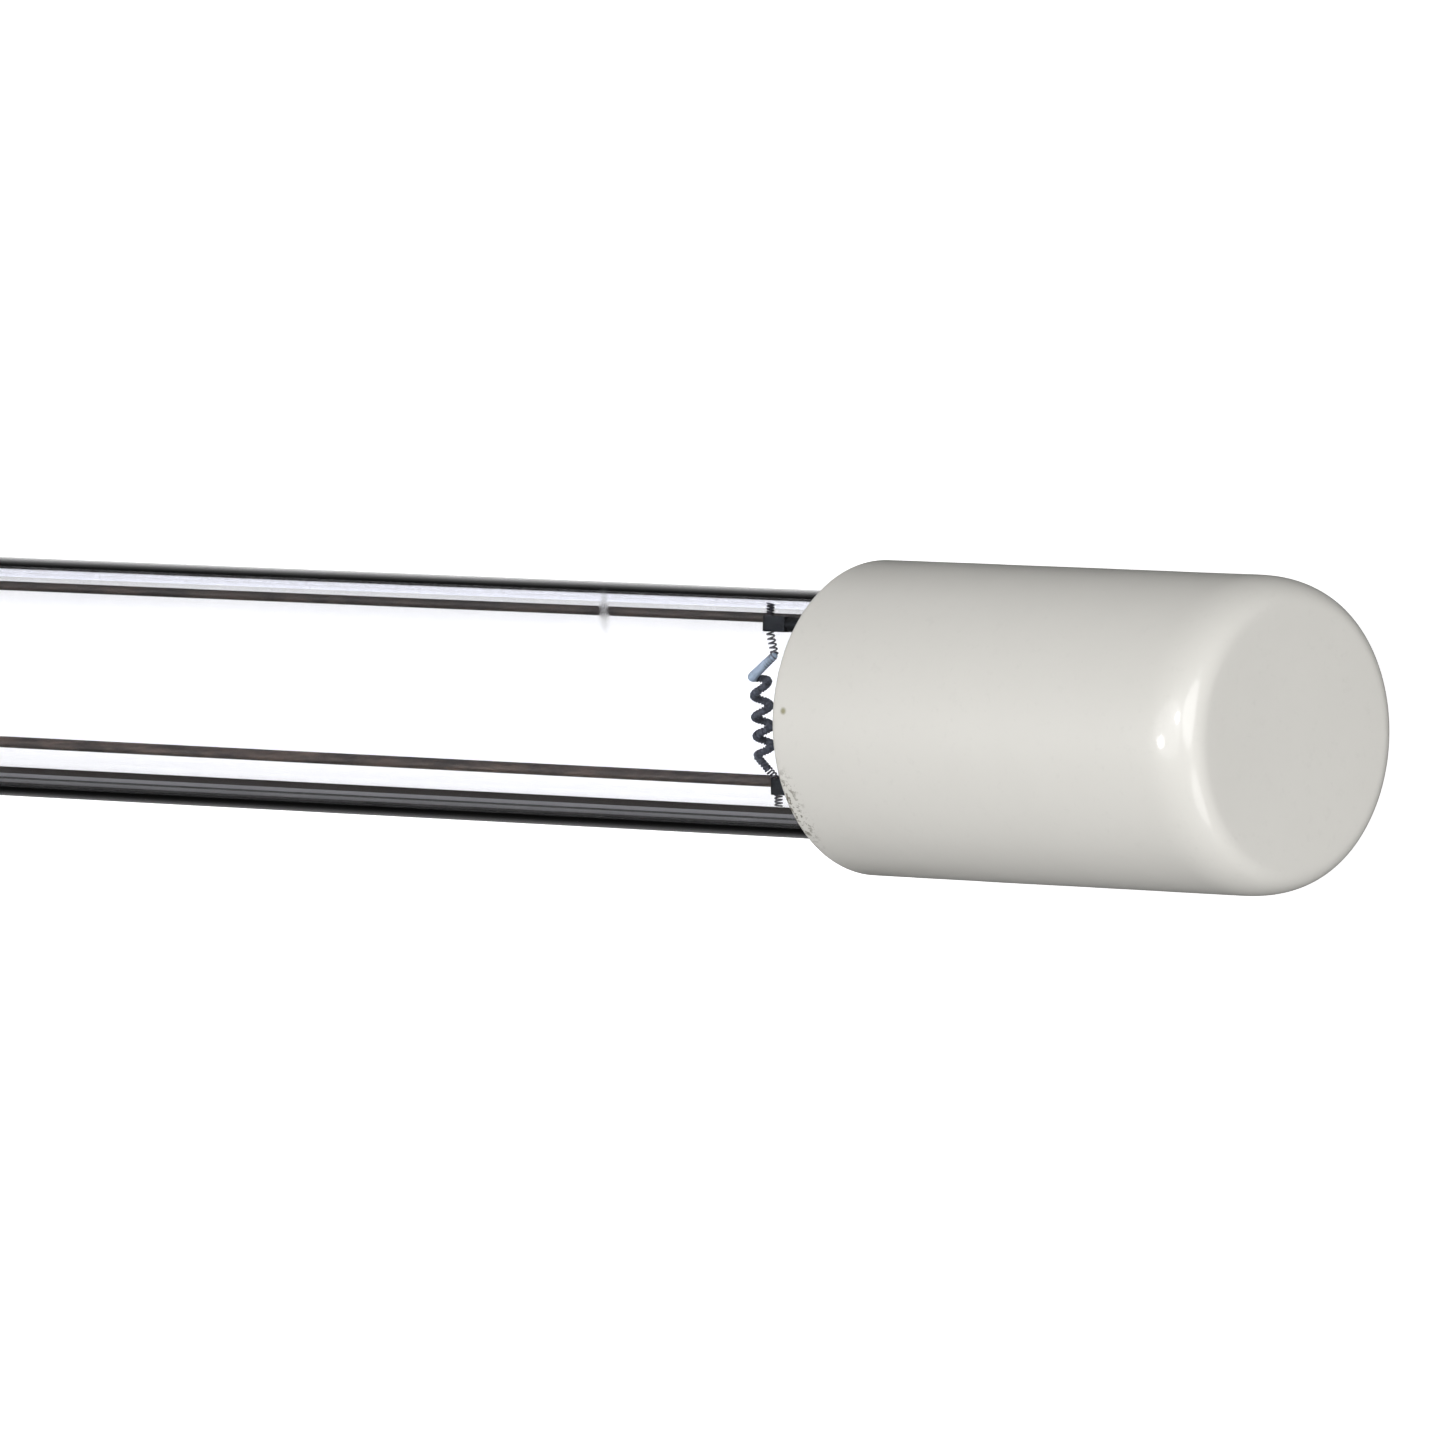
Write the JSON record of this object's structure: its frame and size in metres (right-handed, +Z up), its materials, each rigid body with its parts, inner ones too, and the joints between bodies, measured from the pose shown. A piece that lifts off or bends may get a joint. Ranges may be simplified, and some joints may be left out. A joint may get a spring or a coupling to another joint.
{
  "type": "uvc germicidal lamp tube",
  "caption": "Single-ended ultraviolet lamp: clear quartz tube with coiled filaments, a plain glazed ceramic cap and a ceramic pin base.",
  "frame": {"origin": "centre of the base's flat face, on the lamp's axis", "axes": "+X along the tube from the base's face to the plain cap; +Z up, with the return wires below; +Y by the right-hand rule"},
  "size_m": [0.2936, 0.019, 0.019],
  "materials": {
    "clear_quartz": "clear, fire polished",
    "glazed_cap": "warm white glaze, satin gloss",
    "glazed_base": "warm white glaze, satin gloss",
    "capping_cement": "gritty, matte",
    "coated_filament": "dark wound wire with a blue-grey coating",
    "lead_metal": "drawn nickel, darkened",
    "sealing_foil": "thin rolled foil",
    "return_wire": "dark brown oxidised wire",
    "splice_sleeve": "crimped nickel",
    "contact_pin": "nickel plated, rubbed",
    "mercury": "liquid metal"
  },
  "bodies": {
    "root": {"capping_cement_base": "capping_cement", "capping_cement_cap": "capping_cement", "end_cap": "glazed_cap", "filament_base": "coated_filament", "filament_cap": "coated_filament", "filament_pin_a": "contact_pin", "filament_pin_b": "contact_pin", "inner_lead_base_a": "lead_metal", "inner_lead_base_b": "lead_metal", "inner_lead_cap_a": "lead_metal", "inner_lead_cap_b": "lead_metal", "mercury_bead": "mercury", "outer_lead_base_a": "lead_metal", "outer_lead_base_b": "lead_metal", "outer_lead_cap_a": "lead_metal", "outer_lead_cap_b": "lead_metal", "pin_base": "glazed_base", "quartz_envelope": "clear_quartz", "return_pin_a": "contact_pin", "return_pin_b": "contact_pin", "return_wire_a": "return_wire", "return_wire_b": "return_wire", "sealing_foil_base_a": "sealing_foil", "sealing_foil_base_b": "sealing_foil", "sealing_foil_cap_a": "sealing_foil", "sealing_foil_cap_b": "sealing_foil", "splice_sleeve_a": "splice_sleeve", "splice_sleeve_b": "splice_sleeve"}
  },
  "joints": []
}
